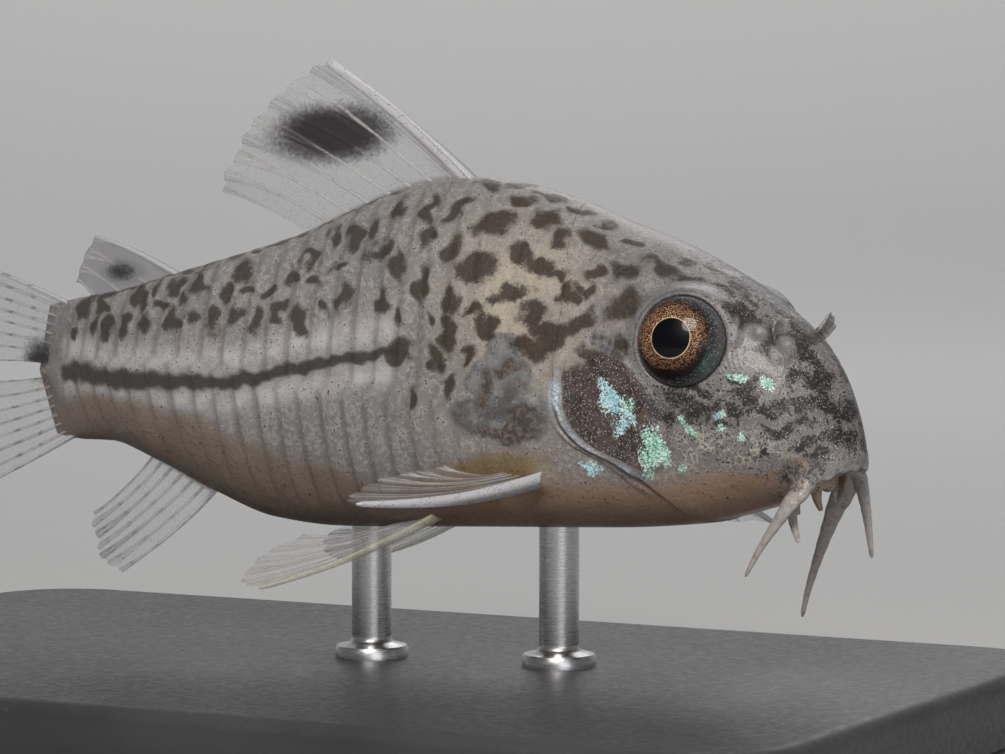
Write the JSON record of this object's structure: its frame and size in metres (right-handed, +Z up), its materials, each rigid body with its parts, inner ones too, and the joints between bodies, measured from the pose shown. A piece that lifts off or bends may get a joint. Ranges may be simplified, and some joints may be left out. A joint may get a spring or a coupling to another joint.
{
  "type": "corydoras catfish model",
  "caption": "Life-size still model of a small spotted, striped armoured catfish with barbels and rayed fins, held by rods over a flat display base.",
  "frame": {"origin": "middle of the underside of the display base, on the floor", "axes": "+Z up, +X the way the fish faces, -Y the fish's right side, which the picture shows"},
  "size_m": [0.07, 0.044, 0.0371],
  "materials": {
    "head": "moist skin, pale tan with fine dark speckles and brown blotches",
    "trunk": "overlapping bony plates under moist skin, blotched, with a dark stripe along the flank",
    "tail_stem": "overlapping bony plates under moist skin, greyish with short bars and a dark stripe",
    "gill_cover": "iridescent reddish brown bone with a bluish rim and green glints",
    "eye": "wet cornea over a speckled copper iris and black pupil",
    "fin": "thin translucent web between pale rays, a black blotch on the back fin",
    "barbel": "translucent whitish flesh",
    "stand_base": "dark satin resin",
    "stand_rod": "brushed steel"
  },
  "bodies": {
    "root": {"head": "head", "trunk": "trunk", "tail_stem": "tail_stem", "gill_cover_right": "gill_cover", "gill_cover_left": "gill_cover", "eye_right": "eye", "eye_left": "eye", "dorsal_fin": "fin", "adipose_fin": "fin", "anal_fin": "fin", "caudal_fin_upper": "fin", "caudal_fin_lower": "fin", "pectoral_fin_right": "fin", "pectoral_fin_left": "fin", "pelvic_fin_right": "fin", "pelvic_fin_left": "fin", "maxillary_barbel_right": "barbel", "maxillary_barbel_left": "barbel", "rictal_barbel_right": "barbel", "rictal_barbel_left": "barbel", "stand_base": "stand_base", "stand_rod_front": "stand_rod", "stand_rod_rear": "stand_rod"}
  },
  "joints": []
}
